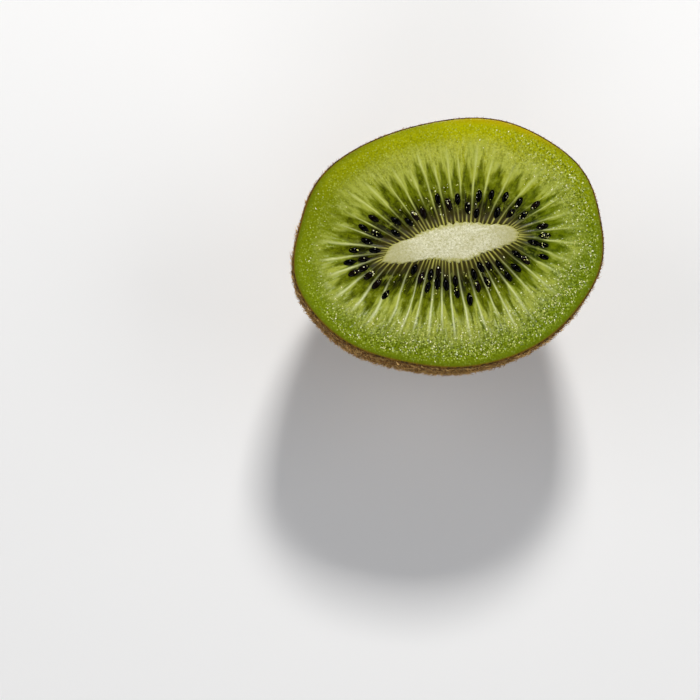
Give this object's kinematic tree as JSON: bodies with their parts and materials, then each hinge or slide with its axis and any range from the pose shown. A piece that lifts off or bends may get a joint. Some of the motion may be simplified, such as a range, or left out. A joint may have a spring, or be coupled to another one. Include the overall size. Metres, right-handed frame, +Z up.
{
  "type": "kiwi fruit half",
  "caption": "Half a kiwi fruit standing cut face up: oval green flesh with pale rays, a ring of small dark seeds, a pale core and a brown fuzzy skin.",
  "frame": {"origin": "middle of the flat spot under the stem end that the half rests on", "axes": "+X along the long diameter of the oval cut, +Y along its short diameter, +Z up, square to the cut face"},
  "size_m": [0.0559, 0.0452, 0.0333],
  "materials": {
    "flesh": "wet translucent green fruit flesh",
    "core": "dense cream-coloured fruit core",
    "skin": "thin brown skin with short hairs",
    "seed": "glossy black-brown seed coat"
  },
  "bodies": {
    "root": {"flesh": "flesh", "core": "core"}
  },
  "joints": []
}
